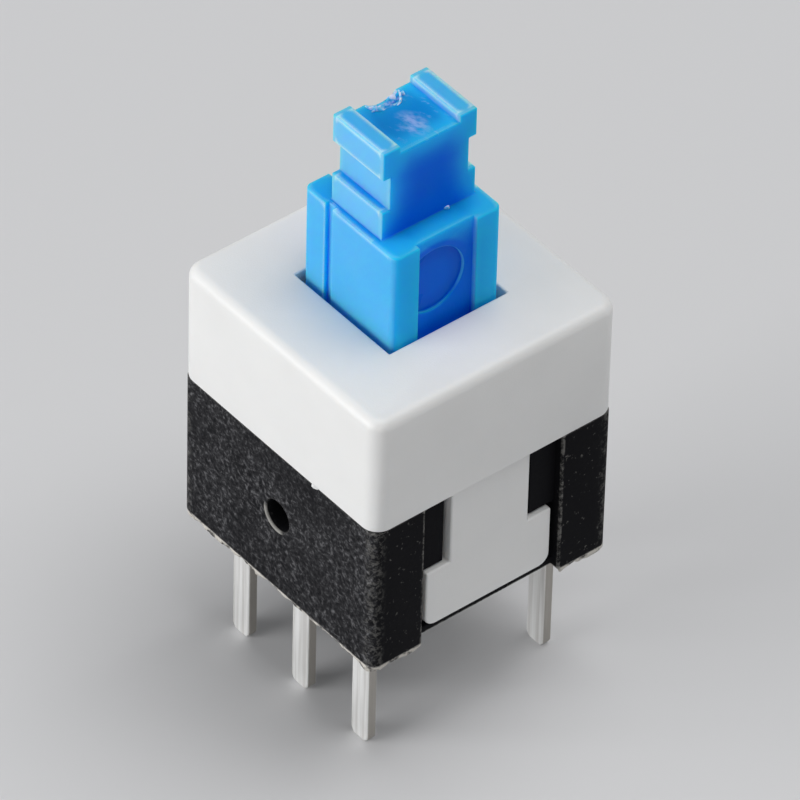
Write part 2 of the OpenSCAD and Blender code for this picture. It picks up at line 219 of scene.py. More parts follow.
class Finish(Sheet):
    """A material whose Principled shader takes constants at once and varying values later."""

    def __init__(self, name, constants):
        self.material = bpy.data.materials.new(name)
        self.material.use_nodes = True
        super().__init__(self.material.node_tree)
        self.shader = self.tree.nodes["Principled BSDF"]
        for socket, value in constants.items():
            self.shader.inputs[socket].default_value = value

    def place(self):
        """Object coordinates in millimetres, as a vector socket and its three numbers."""
        coords = self.node("ShaderNodeTexCoord", {}, {})
        scaled = self.node(
            "ShaderNodeVectorMath", {"operation": "SCALE"}, {0: coords.outputs["Object"], "Scale": 1 / MM}
        )
        parts = self.node("ShaderNodeSeparateXYZ", {}, {0: scaled.outputs[0]})
        return scaled.outputs[0], [Value(self, parts.outputs[i]) for i in range(3)]

    def stretched(self, place, turn, size):
        """Coordinates turned and then counted in grains of a size along each axis, in millimetres."""
        made = self.node(
            "ShaderNodeMapping",
            {"vector_type": "TEXTURE"},
            {"Vector": place, "Rotation": turn, "Scale": size},
        )
        return made.outputs[0]

    def noise(self, place, scale, detail=2.0, rough=0.5):
        """Cloudy value about 0.5, with this many features to a millimetre."""
        made = self.node(
            "ShaderNodeTexNoise",
            {},
            {"Vector": place, "Scale": scale, "Detail": detail, "Roughness": rough},
        )
        return Value(self, made.outputs[0])

    def facing(self):
        """How squarely the surface faces along X, Y and Z of its own piece, each from 0 to 1."""
        coords = self.node("ShaderNodeTexCoord", {}, {})
        parts = self.node("ShaderNodeSeparateXYZ", {}, {0: coords.outputs["Normal"]})
        return [Value(self, parts.outputs[i]).size() for i in range(3)]

    def thin(self, reach):
        """0 over thick stuff and about 1 at a square edge: twice the share of the rays into the solid
        that leave it again within a reach in millimetres."""
        made = self.node(
            "ShaderNodeAmbientOcclusion",
            {"inside": True, "only_local": True, "samples": THIN_RAYS},
            {"Distance": reach * MM},
        )
        return 2 * (1 - Value(self, made.outputs["AO"]))

    def blend(self, factor, low, high):
        """Colour between two colours by a value from 0 to 1."""
        made = self.node("ShaderNodeMix", {"data_type": "RGBA"}, {0: factor, 6: low, 7: high})
        return made.outputs[2]

    def set(self, socket, value):
        """Links a varying value or colour to a socket of the shader."""
        self.tree.links.new(getattr(value, "socket", value), self.shader.inputs[socket])

    def bump(self, height, depth):
        """Roughens the surface by a height from 0 to 1 over a depth in millimetres."""
        made = self.node("ShaderNodeBump", {}, {"Distance": depth * MM, "Height": height})
        self.set("Normal", made.outputs[0])


def length(across, along):
    """Length of a line from how far it goes in two square directions."""
    return (across * across + along * along) ** 0.5


print("a finish can give:", [n for n in vars(Finish) if not n.startswith("_")])

# %% [markdown]
# ## Surfaces from grids of points
#
# A new piece is a skin over a grid: two numbers run along it, and a formula gives
# every point its place. Points could be added one by one, but the whole grid is a
# numpy array here, so the formula is written once. One helper then joins the
# neighbours into four-sided faces and closes the seams and poles.

# %% Grid surfaces


def add_object(name, mesh):
    """Puts a mesh into the scene as an object at the origin."""
    made = bpy.data.objects.new(name, mesh)
    bpy.context.scene.collection.objects.link(made)
    return made


def surface(name, points, close_rows=False, close_columns=False):
    """Object of four-sided faces over a grid of points; a closed direction joins its end to its start,
    and points that fall together, as at a pole, are made one."""
    rows, columns = points.shape[:2]
    i = np.arange(rows - (not close_rows))[:, None]
    j = np.arange(columns - (not close_columns))[None, :]
    next_i, next_j = (i + 1) % rows, (j + 1) % columns
    corners = [i * columns + j, i * columns + next_j, next_i * columns + next_j, next_i * columns + j]
    faces = np.stack(np.broadcast_arrays(*corners), -1).reshape(-1, 4)
    mesh = bpy.data.meshes.new(name)
    mesh.from_pydata(points.reshape(-1, 3), [], faces)
    work = bmesh.new()
    work.from_mesh(mesh)
    bmesh.ops.remove_doubles(work, verts=work.verts, dist=WELD)
    work.to_mesh(mesh)
    work.free()
    mesh.shade_smooth()
    return add_object(name, mesh)


print("points closer than", WELD / MM, "mm become one")

# %% [markdown]
# ## A pale table and soft lamps
#
# A plain pale sheet lets white, black and blue plastic all be read. One large
# lamp at the left makes the near wall the brightest face, and a second one over
# the roof is weaker. Small lamps would give hard shadows that hide the form, so
# both are wide. Their levels keep the white cover below full white.

# %% Floor and lamps
FLOOR_REACH = 2.0
FLOOR_LINES = 9
FLOOR_GREY = (0.71, 0.71, 0.72, 1)
FLOOR_SHADE = 0.97
CLOUDS_PER_MM = 0.01


def softbox(name, azimuth, elevation, distance, width, watts):
    """Square lamp that faces the object from a direction in degrees."""
    lamp = bpy.data.lights.new(name, "AREA")
    lamp.size = width
    lamp.energy = watts
    made = bpy.data.objects.new(name, lamp)
    away = direction(math.radians(azimuth), math.radians(elevation))
    made.matrix_world = looking_at(VIEW_TARGET, away, distance)
    bpy.context.scene.collection.objects.link(made)


def table_sheet():
    """Matt pale sheet with a faint cloud in its tone."""
    finish = Finish("table_sheet", {"Roughness": 0.7})
    place, _ = finish.place()
    cloud = finish.noise(place, CLOUDS_PER_MM)
    darker = tuple(FLOOR_SHADE * c for c in FLOOR_GREY[:3]) + (1,)
    finish.set("Base Color", finish.blend(cloud, darker, FLOOR_GREY))
    return finish.material


span = np.linspace(-FLOOR_REACH, FLOOR_REACH, FLOOR_LINES)
floor_points = np.stack(np.meshgrid(span, span, [0.0]), -1).reshape(FLOOR_LINES, FLOOR_LINES, 3)
floor = surface("table", floor_points)
floor.data.materials.append(table_sheet())

softbox("key", azimuth=-20, elevation=12, distance=0.35, width=0.24, watts=0.96)
softbox("roof", azimuth=150, elevation=74, distance=0.35, width=0.26, watts=0.68)
print("floor faces:", len(floor.data.polygons))

# %% [markdown]
# ## Grey sky
#
# A studio's far walls fill the shaded side with a little light, and shiny metal
# mirrors them. The sky stands for those walls. The camera and the mirrors see its
# full grey, and as a lamp it has only a share of that strength, so the shaded wall
# stays darker than the lit one.

# %% Sky
SKY_GREY = (0.62, 0.63, 0.64, 1)
SKY_LIGHT = 0.38


def light_sky(world):
    """Strength 1 for rays from the camera, off a gloss or through a body, and the sky's light for others."""
    sheet = Sheet(world.node_tree)
    rays = sheet.node("ShaderNodeLightPath", {}, {}).outputs
    direct, glossy, through = (
        Value(sheet, rays[f"Is {kind} Ray"]) for kind in ("Camera", "Glossy", "Transmission")
    )
    seen = (direct + glossy.most(through)).least(1)
    strength = SKY_LIGHT + (1 - SKY_LIGHT) * seen
    background = sheet.tree.nodes["Background"]
    background.inputs["Color"].default_value = SKY_GREY
    sheet.tree.links.new(strength.socket, background.inputs["Strength"])


sky = bpy.data.worlds.new("sky")
bpy.context.scene.world = sky
sky.use_nodes = True
light_sky(sky)
print("sky nodes:", len(sky.node_tree.nodes))

# %% [markdown]
# ## Edges that a mould can make
#
# No moulded or stamped edge is a perfect corner: a small roll along it catches
# the light, and that bright line is what tells the eye how big a thing is. Each
# solid is a set of loose triangles, so a copy is welded, its flat faces are made
# whole again, and a Bevel modifier rolls over only the edges that turn sharply.

# %% Copies with eased edges
FLAT_ANGLE = math.radians(0.6)
SHARP_ANGLE = math.radians(34)
EDGE_STEPS = 3


def body_of(node):
    """Name of the body that carries a node."""
    bodies = frame["record"]["behaviour"]["bodies"]
    return next(name for name, members in bodies.items() if node in members)


def attach(piece, node, material):
    """Gives a piece one material, and the body of the node that carries it."""
    piece.data.materials.clear()
    piece.data.materials.append(material)
    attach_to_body(piece, body_of(node))


def dress(piece, node, material):
    """Lets a piece stand for a node."""
    attach(piece, node, material)
    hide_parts(node)


def eased(node, name, radius):
    """Welded copy of a node with its sharp edges rolled over by a radius in millimetres."""
    work = bmesh.new()
    work.from_mesh(frame["nodes"][node].data)
    bmesh.ops.remove_doubles(work, verts=work.verts, dist=WELD)
    bmesh.ops.dissolve_limit(work, angle_limit=FLAT_ANGLE, verts=work.verts, edges=work.edges)
    bmesh.ops.connect_verts_concave(work, faces=work.faces)
    mesh = bpy.data.meshes.new(name)
    work.to_mesh(mesh)
    work.free()
    mesh.shade_smooth()
    mesh.set_sharp_from_angle(angle=SHARP_ANGLE)
    piece = add_object(name, mesh)
    roll = piece.modifiers.new("eased edges", "BEVEL")
    roll.width = radius * MM
    roll.segments = EDGE_STEPS
    roll.limit_method = "ANGLE"
    roll.angle_limit = SHARP_ANGLE
    roll.use_clamp_overlap = False
    roll.loop_slide = False
    roll.harden_normals = True
    print(name, "faces:", len(mesh.polygons))
    return piece


print("edges over", round(math.degrees(SHARP_ANGLE)), "degrees are rolled in", EDGE_STEPS, "steps")

# %% [markdown]
# ## White cover
#
# The cover is moulded in white plastic with a satin skin. It is not one flat
# white: the skin has a fine grain from the mould, the flow of the plastic leaves
# faint clouds, and light goes a little way in before it comes back out. One even
# colour would look like paper, so a slow noise moves the tone, a fine one moves the
# gloss, and a little subsurface scattering softens the edges.

# %% Cover plastic
COVER_WHITES = (0.80, 0.80, 0.79, 1), (0.87, 0.87, 0.86, 1)


def cover_plastic():
    """Satin white: clouds in the tone, grain in the gloss and the skin."""
    finish = Finish(
        "cover_plastic",
        {
            "IOR": 1.5,
            "Subsurface Weight": 0.25,
            "Subsurface Radius": (1.0, 0.92, 0.85),
            "Subsurface Scale": 0.35 * MM,
        },
    )
    place, _ = finish.place()
    cloud = finish.noise(place, 0.5, detail=3)
    grain = finish.noise(place, 26, detail=2)
    white = finish.blend(cloud, *COVER_WHITES)
    finish.set("Base Color", white)
    finish.set("Roughness", 0.30 + 0.12 * cloud + 0.10 * grain)
    finish.bump(grain, 0.004)
    return finish.material


white_plastic = cover_plastic()
dress(eased("top_cover", "cover_shell", radius=0.06), "top_cover", white_plastic)

# %% [markdown]
# ## Black base
#
# The base is pressed from a black resin filled with short fibres. Fibres that
# lie at the skin show as pale flecks and streaks, and where the mould halves
# meet the edges break off rough and dusty. A picture of flecks would have to be
# wrapped round the block, so they are a noise that is stretched in three
# directions. The flecks are drawn on the long walls only, so the end walls stay
# darker as painted shade. The dust is kept to the outer edges, the seam below
# and the lips of the channels, and on the outer edges it is partly a painted
# sheen. One side of each hole's rim gets a painted highlight in the same grey.

# %% Base moulding
base_low, base_high = (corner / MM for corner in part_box("base"))
BASE_HALF = base_high.x
OUTER_SKIN = (BASE_HALF - 0.2, BASE_HALF - 0.1)
CORNER_CUT = 0.16
BASE_CORNER = 2 * BASE_HALF - CORNER_CUT
CHANNEL_HALF = 2.275
HOLE_RADIUS = 0.475
HOLE_HEIGHT_SHARE = 0.54
HOLE_Z = base_low.z + HOLE_HEIGHT_SHARE * (base_high.z - base_low.z)
HIGHLIGHT_SIDE = (-0.6, -0.8)
FIBRE_TURNS = ((-0.5, 0.3, 0), (-0.6, -0.8, 0), (0.5, 1.3, 0))
FIBRE_SIZE = (0.1, 0.1, 0.42)
STRAND_SIZE = (0.07, 0.07, 0.9)
RESIN_BLACK = (0.008, 0.008, 0.0095, 1)
FIBRE_GREY = (0.135, 0.135, 0.142, 1)
DUST_AND_HIGHLIGHT_GREY = (0.42, 0.41, 0.385, 1)


def fibre_flecks(finish, place, speck):
    """Pale strokes: specks and a noise of long grains in three turns, denser where a slow noise is high."""
    drift = finish.noise(place, 0.6, detail=2)
    fleck = 0.4 * speck.step(0.45, 0.75)
    for turn in FIBRE_TURNS:
        fibre = finish.noise(finish.stretched(place, turn, FIBRE_SIZE), 1, detail=2)
        fleck = fleck + 0.35 * fibre.step(0.42, 0.72) + 1.1 * fibre.step(0.6, 0.74)
    strand = finish.noise(finish.stretched(place, FIBRE_TURNS[1], STRAND_SIZE), 1, detail=1)
    return (fleck + 0.8 * strand.step(0.66, 0.74)) * (0.55 + 0.65 * drift.step(0.3, 0.7))


def hole_rim_highlight(x, y, z):
    """Painted highlight on a hole's rim: a narrow ring at the skin of a long wall, on one side of the hole only.
    """
    ring = 1 - (length(x, z - HOLE_Z) - HOLE_RADIUS - 0.03).size().step(0.03, 0.06)
    ring = ring * y.size().step(BASE_HALF - 0.07, BASE_HALF - 0.03)
    return ring * (HIGHLIGHT_SIDE[0] * x + HIGHLIGHT_SIDE[1] * (z - HOLE_Z)).step(0.18, 0.4)


def base_moulding():
    """Fibre filled black: short pale strokes that cross each other on the long walls, with the end walls left
    darker as painted shade; specks; dust on worn edges, partly a painted sheen; a painted highlight on each hole's
    rim.
    """
    finish = Finish("base_moulding", {"IOR": 1.5, "Specular IOR Level": 0.03})
    place, (x, y, z) = finish.place()
    _, long_wall, lying = finish.facing()
    outer = x.size().most(y.size()).step(*OUTER_SKIN)
    long_wall = long_wall * y.size().step(*OUTER_SKIN)
    speck = finish.noise(place, 8, detail=3, rough=0.6)
    chips = finish.noise(place, 7, detail=4, rough=0.7)
    # Fibre flecks on the long walls only: the end walls stay darker, which is painted shade.
    fleck = fibre_flecks(finish, place, speck) * long_wall
    flecked = finish.blend(0.4 * fleck, RESIN_BLACK, FIBRE_GREY)
    stray = speck.step(0.63, 0.74) * (1 - long_wall) * outer
    corner = (x.size() + y.size()).step(BASE_CORNER - 0.3, BASE_CORNER) * chips.step(0.45, 0.65)
    # Pale chips along the outer edges: dust on worn edges, and partly a painted sheen along them.
    worn_edges_and_sheen = finish.thin(0.14).step(0.45, 0.9) * chips.step(0.3, 0.48) * outer
    seam = (1 - (z - base_low.z).step(0.03, 0.08)) * (1 - lying.step(0.8, 0.95)) * chips.step(0.4, 0.52)
    lips = 1 - (y.size() - CHANNEL_HALF - 0.03).size().step(0.03, 0.06)
    lips = lips * x.size().step(BASE_HALF - 0.1, BASE_HALF - 0.05) * chips.step(0.44, 0.6)
    # Painted highlight: a pale ring on one side of each hole's rim, where light from above catches it.
    rim_highlight = hole_rim_highlight(x, y, z)
    # One pale grey serves the dust and the painted highlight and sheen together.
    dust_and_highlight = (worn_edges_and_sheen + 0.3 * corner + 0.35 * stray + seam + 0.4 * lips + 1.2 * rim_highlight).least(1)
    finish.set("Base Color", finish.blend(0.75 * dust_and_highlight, flecked, DUST_AND_HIGHLIGHT_GREY))
    finish.set("Roughness", 0.5 + 0.2 * speck + 0.2 * dust_and_highlight)
    finish.bump(0.6 * speck + 0.4 * chips, 0.014)
    return finish.material


moulded_base = base_moulding()
dress(eased("base", "base_moulding", radius=0.05), "base", moulded_base)

# %% [markdown]
# ## Blocks beside the tongues
#
# A tongue of the cover has the shape of a T. In its channel a small block of
# black base material stands over each arm of the T and fills the channel beside
# the neck, a little behind the tongue's face, so the notch there shows black. A
# block could be a cube with a modifier, but a rectangle carried outwards and
# drawn in at its front gives the chamfer in one formula.

# %% Channel blocks
NECK_HALF = 1.3
FOOT_TOP = 6.19
FILL_BACK = 3.2
FILL_FACE = 3.67
FILL_GAP = 0.12
FILL_SEAT = 0.03
FILL_EASE = 0.03


def channel_fill(name, turn, side):
    """Block beside a neck: a rectangle in Y and Z is carried from the back to the face, shrinks by the
    ease there, and closes to a point at both ends; a turn of -1 sets it at the other end wall."""
    ends = sorted((side * (NECK_HALF + FILL_GAP), side * (CHANNEL_HALF + FILL_SEAT)))
    low = np.array([ends[0], FOOT_TOP + FILL_SEAT])
    high = np.array([ends[1], base_high.z - FILL_EASE])
    middle, half = (low + high) / 2, (high - low) / 2
    corners = np.array([[-1, -1], [1, -1], [1, 1], [-1, 1]])
    reach = np.stack([0 * half, half, half, half - FILL_EASE, 0 * half])
    outline = middle + reach[:, None] * corners[None]
    away = np.array([FILL_BACK, FILL_BACK, FILL_FACE - FILL_EASE, FILL_FACE, FILL_FACE])
    away = np.broadcast_to(away[:, None, None], (*outline.shape[:2], 1))
    points = np.concatenate([away, outline], -1) * [turn, turn, 1]
    made = surface(name, MM * points, close_columns=True)
    made.data.set_sharp_from_angle(angle=SHARP_ANGLE)
    return made


for end, turn in (("left", -1), ("right", 1)):
    for number, side in ((1, -1), (2, 1)):
        block = channel_fill(f"neck_channel_fill_{end}_{number}", turn, side)
        attach(block, "base", moulded_base)
        print(block.name, "faces:", len(block.data.polygons))

# %% [markdown]
# ## Blue plunger
#
# The plunger is moulded from a slippery plastic that lets light through. Its
# colour is painted light and shade by the way a face looks: the long flanks get
# a pale lit blue, the faces that look up a lighter blue and the rest a deep
# shaded blue, with a painted turquoise glow where it is thin. Subsurface
# scattering lets light leak round the edges, and a count of the rays that leave
# the solid soon finds the thin places. Pale lines along the edges are painted
# highlights, and the mark's recess gets painted shade. The gate tears the end of
# the saddle white, and handling leaves scuffs.

# %% Plunger plastic
SADDLE_DEPTH = 0.22
SCOOP_RADIUS = 0.5
MARK_RADIUS = 1.0
MARK_Y = -0.353
MARK_Z = 13.875
MARK_X = 1.65
PANEL_X = 1.7
BLOCK_TOP = 15.3
HEAD_END = 1.025
SADDLE_Z = (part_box("plunger")[1] / MM).z - SADDLE_DEPTH
SCUFF_X = 0.3
RUB_TURN = (0, 0, 0.4)
RUB_SIZE = (0.42, 0.2, 0.33)
# Colours of painted light and shade: shaded ends, lit tops, shade in the mark's recess, glow where thin, lit
# flanks and head, lit bar tops, edge highlights.
SHADED_END_BLUES = (0.0, 0.135, 0.79, 1), (0.0005, 0.165, 0.85, 1)
LIT_TOP_BLUE = (0.001, 0.25, 0.68, 1)
RECESS_SHADE_BLUE = (0.0, 0.095, 0.66, 1)
GLOW_TURQUOISE = (0.02, 0.49, 0.94, 1)
LIT_FLANK_BLUES = (0.07, 0.44, 0.86, 1), (0.10, 0.48, 0.90, 1)
LIT_HEAD_BLUE = (0.18, 0.55, 0.92, 1)
LIT_BAR_BLUE = (0.12, 0.46, 0.74, 1)
EDGE_HIGHLIGHT_BLUE = (0.56, 0.78, 0.97, 1)
SCUFF_BLUE = (0.56, 0.64, 0.92, 1)


def near_end(x, end):
    """1 at an end face across X, 0 from a sixth of a millimetre behind it."""
    return x.size().step(end - 0.16, end - 0.1)


def saddle_marks(finish, place, x, y, z):
    """Whitened plastic: scuffs about the middle of the saddle's floor, and tears in the gate's scoop."""
    saddle = (1 - (z - SADDLE_Z).size().step(0.01, 0.03)) * (1 - y.size().step(0.9, 0.95))
    rubbed = finish.noise(finish.stretched(place, RUB_TURN, RUB_SIZE), 1, detail=4, rough=0.6)
    middle = 1 - ((x - SCUFF_X) * (x - SCUFF_X) + 2 * y * y).step(0.02, 0.4)
    scuff = saddle * (middle * rubbed.step(0.38, 0.66)).most(0.5 * rubbed.step(0.6, 0.75))
    scoop = 1 - length(x + HEAD_END, y).step(SCOOP_RADIUS - 0.02, SCOOP_RADIUS + 0.03)
    scoop = scoop * z.step(SADDLE_Z - 0.3, SADDLE_Z - 0.25)
    torn = scoop * finish.noise(place, 4, detail=3, rough=0.6).step(0.5, 0.58)
    return (0.5 * scuff + 0.75 * torn).least(0.75)


def plunger_plastic():
    """Blue with painted light and shade: deep shaded ends, lit flanks and tops, a painted turquoise glow where
    thin, painted shade in the mark's recess, painted highlights on edges, a scuffed saddle.
    """
    finish = Finish(
        "plunger_plastic",
        {
            "IOR": 1.48,
            "Specular IOR Level": 0.06,
            "Subsurface Weight": 1.0,
            "Subsurface Radius": (0.05, 0.35, 1.0),
            "Subsurface Scale": 1.0 * MM,
        },
    )
    place, (x, y, z) = finish.place()
    end, flank, top = finish.facing()
    cloud = finish.noise(place, 0.9, detail=3)
    grain = finish.noise(place, 18, detail=2)
    thin = finish.thin(0.95) + 0.45 * x.size().step(PANEL_X + 0.08, PANEL_X + 0.14)
    # Painted shade and light by face: faces that are not flanks get a deep shaded blue, and faces that look up a
    # lighter lit blue.
    painted_shading = finish.blend(cloud, *SHADED_END_BLUES)
    painted_shading = finish.blend(top.step(0.5, 0.9), painted_shading, LIT_TOP_BLUE)
    from_mark = length(y - MARK_Y, z - MARK_Z)
    mark = (1 - from_mark.step(MARK_RADIUS - 0.04, MARK_RADIUS)) * end.step(0.8, 0.95)
    mark = mark * (1 - x.size().step(MARK_X, MARK_X + 0.05))
    # Painted shade in the mark's recess, darker towards its rim.
    recess_shade = (0.1 + 0.5 * from_mark.step(0.4, 1.0)) * mark
    recess_shaded = finish.blend(recess_shade, painted_shading, RECESS_SHADE_BLUE)
    panel = x.size().step(MARK_X - 0.1, MARK_X - 0.06) * (1 - x.size().step(PANEL_X + 0.02, PANEL_X + 0.08))
    near_mark = (1 - from_mark.step(MARK_RADIUS + 0.1, MARK_RADIUS + 0.3)) * panel
    near_mark = near_mark * (1 - 0.5 * (MARK_Z - z).step(0.7, 0.95))
    # Painted glow: thin places turn turquoise, standing for light that leaks through; the glow is held back round
    # the mark.
    painted_glow = finish.blend((thin * (1 - 0.9 * near_mark)).step(0.0, 1.0), recess_shaded, GLOW_TURQUOISE)
    # Painted light: the long flanks get a paler lit blue, paler still on the head.
    lit_flank = finish.blend(cloud, *LIT_FLANK_BLUES)
    head = z.step(BLOCK_TOP - 0.1, BLOCK_TOP + 0.1)
    lit_flank = finish.blend(0.7 * head, lit_flank, LIT_HEAD_BLUE)
    skin = finish.blend(flank.step(0.5, 0.95), painted_glow, lit_flank)
    # Painted light: the tops of the bars get a lighter lit blue.
    bars = top.step(0.8, 0.95) * z.step(SADDLE_Z + 0.1, SADDLE_Z + 0.15)
    skin = finish.blend(0.5 * bars, skin, LIT_BAR_BLUE)
    highlight_fade = near_end(x, PANEL_X).most(head * near_end(x, HEAD_END))
    # Painted highlight: pale lines along the edges, weaker near the ends and round the mark.
    rim_highlight = finish.thin(0.26).step(0.34, 0.76) * (1 - end.step(0.03, 0.25)) * (1 - near_mark)
    edge_highlighted = finish.blend(0.85 * rim_highlight * (1 - 0.8 * highlight_fade), skin, EDGE_HIGHLIGHT_BLUE)
    marked = saddle_marks(finish, place, x, y, z)
    finish.set("Base Color", finish.blend(marked, edge_highlighted, SCUFF_BLUE))
    finish.set("Roughness", 0.32 + 0.12 * cloud + 0.2 * marked - 0.1 * mark)
    finish.bump(0.5 * grain + 0.5 * marked, 0.008)
    return finish.material


dress(eased("plunger", "plunger_stem", radius=0.045), "plunger", plunger_plastic())

# %% [markdown]
# ## Tinned pins
#
# The terminals are stamped from brass strip and dipped in tin. Rolling and
# drawing leave fine scratches along their length, which a noise stretched along
# the pin gives to the gloss and to the surface. The narrow sides are where the
# punch sheared the strip, so they are rougher and duller than the rolled faces.

# %% Terminals
SCRATCH_SIZE = (0.036, 0.036, 0.6)
STREAK_SIZE = (0.13, 0.13, 5.0)
TIN_GREYS = (0.78, 0.77, 0.75, 1), (0.94, 0.94, 0.93, 1)
SHEARED_BROWN = (0.36, 0.335, 0.30, 1)


def tin_plate():
    """Bright tin: scratches and streaks along the pin, dull sheared sides."""
    finish = Finish("tin_plate", {"Metallic": 1.0, "IOR": 1.5})
    place, _ = finish.place()
    narrow, _, _ = finish.facing()
    scratch = finish.noise(finish.stretched(place, UNTURNED, SCRATCH_SIZE), 1, detail=3, rough=0.6)
    streak = finish.noise(finish.stretched(place, UNTURNED, STREAK_SIZE), 1, detail=2)
    sheared = narrow.step(0.6, 0.95)
    rolled = finish.blend(streak.step(0.35, 0.65), *TIN_GREYS)
    finish.set("Base Color", finish.blend(0.8 * sheared, rolled, SHEARED_BROWN))
    finish.set("Roughness", 0.40 + 0.14 * streak + 0.18 * scratch + 0.1 * sheared)
    finish.bump(scratch, 0.01)
    return finish.material


tin = tin_plate()
for side in ("left", "right"):
    for role in ("common", "upper", "lower"):
        terminal = f"{role}_terminal_{side}"
        dress(eased(terminal, f"{role}_pin_{side}", radius=0.06), terminal, tin)

# %% [markdown]
# ## Works inside
#
# The cover hides the spring, the latch wire and the contact clips, but they are
# there when the switch is taken apart. A spring shortens as the plunger comes
# down; here the spring is drawn again at its full length as a fine round wire on
# a helix, on a mesh of its own.

# %% Spring, latch wire and clips
SPRING_TURNS = 8
SPRING_WIRE = 0.25
CLOSED_PITCH = 0.28
STEPS_PER_TURN = 32
WIRE_SIDES = 12
INNER_EDGE = 0.02
WIRE_GREYS = (0.50, 0.49, 0.47, 1), (0.66, 0.66, 0.66, 1)
SHEET_GRAIN_SIZE = (0.33, 0.042, 0.042)
BRONZE_TONES = (0.80, 0.58, 0.30, 1), (0.55, 0.36, 0.18, 1)


def drawn_wire():
    """Spring steel: fine drawing lines and a faint straw tint."""
    finish = Finish("drawn_wire", {"Metallic": 1.0})
    place, _ = finish.place()
    lines = finish.noise(place, 16, detail=3)
    finish.set("Base Color", finish.blend(lines, *WIRE_GREYS))
    finish.set("Roughness", 0.24 + 0.2 * lines)
    finish.bump(lines, 0.006)
    return finish.material


def contact_bronze():
    """Rolled bronze: grain along the sheet and a little tarnish."""
    finish = Finish("contact_bronze", {"Metallic": 1.0})
    place, _ = finish.place()
    grain = finish.noise(finish.stretched(place, UNTURNED, SHEET_GRAIN_SIZE), 1, detail=3)
    tarnish = finish.noise(place, 1.4, detail=4)
    finish.set("Base Color", finish.blend(tarnish.step(0.35, 0.7), *BRONZE_TONES))
    finish.set("Roughness", 0.26 + 0.2 * grain + 0.1 * tarnish)
    finish.bump(grain, 0.008)
    return finish.material


def spring_coil():
    """Round wire on a helix: angle grows evenly, height grows slowly in the closed end turns
    and evenly between them; rings of points stand round that line and shrink to its two ends."""
    low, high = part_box("return_spring")
    wire = SPRING_WIRE / 2 * MM
    radius = (high.x - low.x) / 2 - wire
    bottom, top = low.z + wire, high.z - wire
    closed = CLOSED_PITCH * MM
    turns = np.linspace(0, SPRING_TURNS, SPRING_TURNS * STEPS_PER_TURN + 1)
    rise = np.interp(
        turns, [0, 1, SPRING_TURNS - 1, SPRING_TURNS], [bottom, bottom + closed, top - closed, top]
    )
    thickness = np.full_like(turns, wire)
    turns = np.concatenate([turns[:1], turns, turns[-1:]])
    rise = np.concatenate([rise[:1], rise, rise[-1:]])
    thickness = np.concatenate([[0.0], thickness, [0.0]])
    along = 2 * np.pi * turns[:, None]
    round_wire = 2 * np.pi * np.arange(WIRE_SIDES)[None, :] / WIRE_SIDES
    reach = radius + thickness[:, None] * np.cos(round_wire)
    points = np.stack(
        [
            reach * np.cos(along),
            reach * np.sin(along),
            rise[:, None] + thickness[:, None] * np.sin(round_wire),
        ],
        -1,
    )
    return surface("spring_coil", points, close_columns=True)


wire_steel = drawn_wire()
bronze = contact_bronze()
coil = spring_coil()
dress(coil, "return_spring", wire_steel)
slide = next(j for j in frame["joints"] if j["name"] == "plunger_slide")
spring_low, spring_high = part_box("return_spring")
spring_length = spring_high.z - spring_low.z
(spring_length - slide["range_m"][1]) / spring_length
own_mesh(coil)
dress(eased("latch_pin", "latch_wire", INNER_EDGE), "latch_pin", wire_steel)
for side in ("left", "right"):
    clip = f"contact_clip_{side}"
    dress(eased(clip, f"bridge_clip_{side}", INNER_EDGE), clip, bronze)
print("spring faces:", len(coil.data.polygons))

# %% [markdown]
# ## Flash under the base
#
# Moulds never close quite tight. Resin creeps out along the joint under the base
# and breaks off as a ragged pale fin. A rough edge could be painted on, but it has
# to stand out against the light, so it is a shape: a thin wedge carried along the
# base's lower edge, with a height and a lean that wander. The random numbers come
# from one seed, so the fin is always the same.

# %% Ragged fins
SEED = 8
FIN_STEP = 0.03
FIN_ROOT = 0.06
FIN_INSET = 0.03
FIN_TIP_SHARE = 0.4
BASE_ROUND = 0.28
BEND_POINTS = 12
FLASH_THICKNESS = 0.045
FLASH_DROP = 0.05
FLASH_LIMITS = (-0.03, 0.15)
FLASH_TONES = (0.10, 0.095, 0.09, 1), (0.62, 0.59, 0.54, 1)
chance = np.random.default_rng(SEED)


def evenly(corners):
    """Points a small step apart along the line through given points."""
    gaps = np.linalg.norm(np.diff(corners, axis=0), axis=1)
    run = np.concatenate([[0.0], np.cumsum(gaps)])
    places = np.arange(0, run[-1], FIN_STEP)
    return np.stack([np.interp(places, run, corners[:, k]) for k in range(2)], -1)


def wander(count, stride, low, high):
    """Values at a count of points that change evenly between random ones, a stride apart."""
    places = FIN_STEP * np.arange(count)
    knots = np.arange(0, places[-1] + 2 * stride, stride)
    return np.interp(places, knots, chance.uniform(low, high, len(knots)))


def ragged_fin(name, line, root_z, upward, thickness, height, lean):
    """Wedge along a flat line: it starts under the surface at its root as wide as its thickness, leans to
    the line's left and narrows up to its height, and shrinks to a point at both ends."""
    along = np.gradient(line, axis=0)
    along /= np.linalg.norm(along, axis=1, keepdims=True)
    left = np.stack([-along[:, 1], along[:, 0]], -1)
    full = np.ones(len(line))
    full[[0, -1]] = 0
    half = upward * thickness / 2
    tip = FIN_TIP_SHARE * half
    aside = full[:, None] * np.stack(np.broadcast_arrays(half, lean + tip, lean - tip, -half), 1)
    rise = upward * full[:, None] * np.stack(np.broadcast_arrays(-FIN_ROOT, height, height, -FIN_ROOT), 1)
    flat = line[:, None] + aside[..., None] * left[:, None]
    return surface(name, MM * np.concatenate([flat, root_z + rise[..., None]], -1), close_columns=True)


